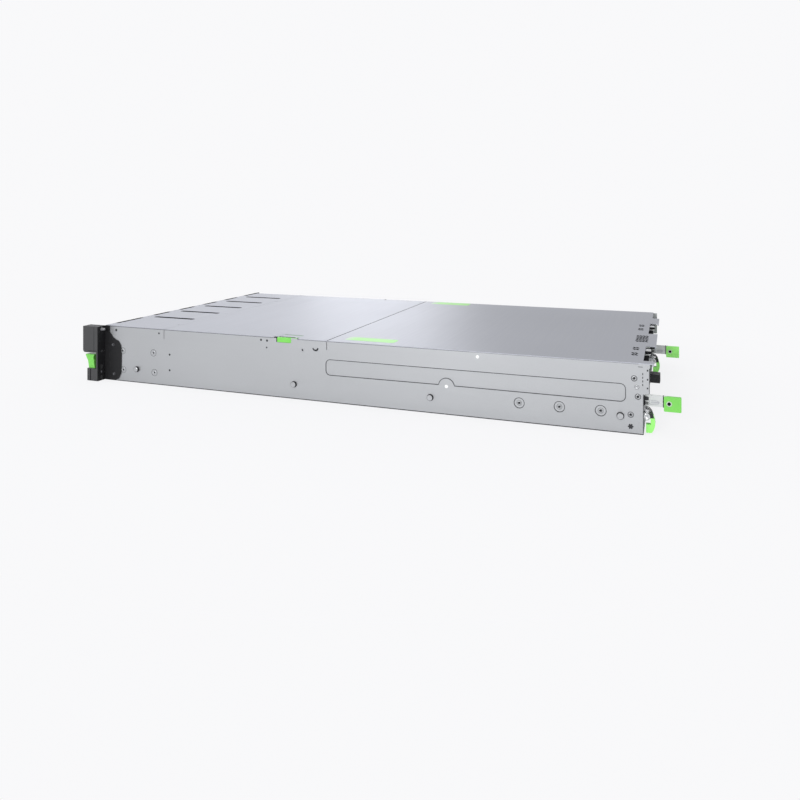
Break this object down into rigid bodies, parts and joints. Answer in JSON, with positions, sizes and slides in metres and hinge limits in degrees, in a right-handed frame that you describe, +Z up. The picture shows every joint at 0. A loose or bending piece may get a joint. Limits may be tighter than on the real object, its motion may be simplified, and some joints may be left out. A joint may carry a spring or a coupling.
{
  "type": "two-unit rack server",
  "caption": "Two-unit rack server with upright drive bays, fan row, pull-out compute tray with coloured handles and cam levers, stacked power supplies and rack ears.",
  "frame": {"origin": "underside, midway between the sides, in the plane where the ears meet the rack posts", "axes": "+Z up, +Y from the front to the rear, +X across the width"},
  "size_m": [0.4826, 0.8914, 0.087],
  "materials": {
    "case_steel": "zinc-coated sheet, fine satin",
    "bright_steel": "bright plated",
    "bracket_black": "black powder coat",
    "ear_grey": "dark grey moulded",
    "touch_green": "bright green moulded",
    "pad_green": "light green film",
    "bezel_black": "black moulded",
    "drive_metal": "satin",
    "board_green": "solder mask",
    "fan_black": "black moulded",
    "sink_metal": "bare fins",
    "psu_metal": "satin case",
    "memory_black": "board with chips",
    "button_white": "translucent cap"
  },
  "bodies": {
    "chassis": {"chassis_base": "case_steel", "inner_frame": "case_steel", "rail_studs": "bright_steel", "side_screws": "bright_steel", "drive_cage": "case_steel", "bay_blanks": "bezel_black", "front_cover": "case_steel", "backplane": "board_green", "fan_frames": "fan_black", "midplane": "board_green", "rack_screws": "bright_steel", "ear_bracket_right": "bracket_black", "ear_bracket_left": "bracket_black", "ear_cover_right": "ear_grey", "ear_cover_left": "ear_grey"},
    "mid_lid": {"mid_cover": "case_steel"},
    "lid_latch": {"cover_latch": "touch_green"},
    "rear_lid": {"rear_cover": "case_steel"},
    "tray": {"tray_base": "case_steel", "tray_panel": "case_steel", "motherboard": "board_green", "heatsinks": "sink_metal", "memory_modules": "memory_black", "air_shroud": "fan_black", "riser_cages": "case_steel", "expansion_cards": "board_green", "rear_ports": "bright_steel", "tray_handle_right": "bright_steel", "tray_handle_left": "bright_steel", "handle_tab_right": "touch_green", "handle_tab_left": "touch_green"},
    "module": {"module_case": "case_steel", "module_grip": "bezel_black"},
    "power_key": {"power_button": "button_white"},
    "id_key": {"id_button": "button_white"},
    "lever_right": {"tray_lever_right": "bright_steel", "lever_grip_right": "touch_green"},
    "lever_left": {"tray_lever_left": "bright_steel", "lever_grip_left": "touch_green"},
    "supply_lower": {"psu_lower": "psu_metal", "psu_loop_lower": "bezel_black"},
    "supply_latch_lower": {"psu_latch_lower": "touch_green"},
    "supply_upper": {"psu_upper": "psu_metal", "psu_loop_upper": "bezel_black"},
    "supply_latch_upper": {"psu_latch_upper": "touch_green"},
    "carrier_1": {"drive_1": "drive_metal"},
    "carrier_lever_1": {"drive_lever_1": "bezel_black"},
    "carrier_2": {"drive_2": "drive_metal"},
    "carrier_lever_2": {"drive_lever_2": "bezel_black"},
    "carrier_3": {"drive_3": "drive_metal"},
    "carrier_lever_3": {"drive_lever_3": "bezel_black"},
    "carrier_4": {"drive_4": "drive_metal"},
    "carrier_lever_4": {"drive_lever_4": "bezel_black"},
    "rotor_1": {"fan_impeller_1": "fan_black"},
    "rotor_2": {"fan_impeller_2": "fan_black"},
    "rotor_3": {"fan_impeller_3": "fan_black"},
    "rotor_4": {"fan_impeller_4": "fan_black"},
    "rotor_5": {"fan_impeller_5": "fan_black"},
    "rack_lever_right": {"rack_latch_right": "touch_green"},
    "rack_lever_left": {"rack_latch_left": "touch_green"}
  },
  "joints": [
    {"name": "mid_cover_hinge", "type": "hinge", "parent": "chassis", "child": "mid_lid", "pos_m": [0, 0.1134, 0.087], "axis": [1, 0, 0], "range_deg": [0, 75]},
    {"name": "cover_latch_hinge", "type": "hinge", "parent": "mid_lid", "child": "lid_latch", "pos_m": [0.203, 0.3275, 0.083], "axis": [0, -1, 0], "range_deg": [0, 35]},
    {"name": "rear_cover_slide", "type": "slide", "parent": "chassis", "child": "rear_lid", "axis": [0, 1, 0], "range_m": [0, 0.015]},
    {"name": "tray_slide", "type": "slide", "parent": "chassis", "child": "tray", "axis": [0, 1, 0], "range_m": [0, 0.38]},
    {"name": "module_slide", "type": "slide", "parent": "tray", "child": "module", "axis": [0, 1, 0], "range_m": [0, 0.11]},
    {"name": "tray_lever_right_hinge", "type": "hinge", "parent": "tray", "child": "lever_right", "pos_m": [0.212, 0.821, 0.021], "axis": [1, 0, 0], "range_deg": [0, 60]},
    {"name": "tray_lever_left_hinge", "type": "hinge", "parent": "tray", "child": "lever_left", "pos_m": [-0.126, 0.821, 0.021], "axis": [1, 0, 0], "range_deg": [0, 60]},
    {"name": "psu_lower_slide", "type": "slide", "parent": "chassis", "child": "supply_lower", "axis": [0, 1, 0], "range_m": [0, 0.23]},
    {"name": "psu_latch_lower_hinge", "type": "hinge", "parent": "supply_lower", "child": "supply_latch_lower", "pos_m": [-0.155, 0.795, 0.0215], "axis": [0, 0, 1], "range_deg": [0, 10], "stiffness_Nm_per_rad": 0.2},
    {"name": "psu_upper_slide", "type": "slide", "parent": "chassis", "child": "supply_upper", "axis": [0, 1, 0], "range_m": [0, 0.23]},
    {"name": "psu_latch_upper_hinge", "type": "hinge", "parent": "supply_upper", "child": "supply_latch_upper", "pos_m": [-0.155, 0.795, 0.0633], "axis": [0, 0, 1], "range_deg": [0, 10], "stiffness_Nm_per_rad": 0.2},
    {"name": "drive_1_slide", "type": "slide", "parent": "chassis", "child": "carrier_1", "axis": [0, -1, 0], "range_m": [0, 0.11]},
    {"name": "drive_lever_1_hinge", "type": "hinge", "parent": "carrier_1", "child": "carrier_lever_1", "pos_m": [0.207, -0.0055, 0.0102], "axis": [1, 0, 0], "range_deg": [0, 50]},
    {"name": "drive_2_slide", "type": "slide", "parent": "chassis", "child": "carrier_2", "axis": [0, -1, 0], "range_m": [0, 0.11]},
    {"name": "drive_lever_2_hinge", "type": "hinge", "parent": "carrier_2", "child": "carrier_lever_2", "pos_m": [0.189, -0.0055, 0.0102], "axis": [1, 0, 0], "range_deg": [0, 50]},
    {"name": "drive_3_slide", "type": "slide", "parent": "chassis", "child": "carrier_3", "axis": [0, -1, 0], "range_m": [0, 0.11]},
    {"name": "drive_lever_3_hinge", "type": "hinge", "parent": "carrier_3", "child": "carrier_lever_3", "pos_m": [0.171, -0.0055, 0.0102], "axis": [1, 0, 0], "range_deg": [0, 50]},
    {"name": "drive_4_slide", "type": "slide", "parent": "chassis", "child": "carrier_4", "axis": [0, -1, 0], "range_m": [0, 0.11]},
    {"name": "drive_lever_4_hinge", "type": "hinge", "parent": "carrier_4", "child": "carrier_lever_4", "pos_m": [0.153, -0.0055, 0.0102], "axis": [1, 0, 0], "range_deg": [0, 50]},
    {"name": "fan_1_spin", "type": "hinge", "parent": "chassis", "child": "rotor_1", "pos_m": [-0.168, 0.225, 0.0412], "axis": [0, 1, 0], "continuous": true},
    {"name": "fan_2_spin", "type": "hinge", "parent": "chassis", "child": "rotor_2", "pos_m": [-0.084, 0.225, 0.0412], "axis": [0, 1, 0], "continuous": true},
    {"name": "fan_3_spin", "type": "hinge", "parent": "chassis", "child": "rotor_3", "pos_m": [0, 0.225, 0.0412], "axis": [0, 1, 0], "continuous": true},
    {"name": "fan_4_spin", "type": "hinge", "parent": "chassis", "child": "rotor_4", "pos_m": [0.084, 0.225, 0.0412], "axis": [0, 1, 0], "continuous": true},
    {"name": "fan_5_spin", "type": "hinge", "parent": "chassis", "child": "rotor_5", "pos_m": [0.168, 0.225, 0.0412], "axis": [0, 1, 0], "continuous": true},
    {"name": "rack_latch_right_hinge", "type": "hinge", "parent": "chassis", "child": "rack_lever_right", "pos_m": [0.23285, -0.0125, 0.009], "axis": [1, 0, 0], "range_deg": [0, 18], "stiffness_Nm_per_rad": 0.3},
    {"name": "rack_latch_left_hinge", "type": "hinge", "parent": "chassis", "child": "rack_lever_left", "pos_m": [-0.23285, -0.0125, 0.009], "axis": [1, 0, 0], "range_deg": [0, 18], "stiffness_Nm_per_rad": 0.3},
    {"name": "power_button_press", "type": "slide", "parent": "chassis", "child": "power_key", "axis": [0, 1, 0], "range_m": [0, 0.0015], "stiffness_N_per_m": 250},
    {"name": "id_button_press", "type": "slide", "parent": "chassis", "child": "id_key", "axis": [0, 1, 0], "range_m": [0, 0.0015], "stiffness_N_per_m": 250}
  ]
}
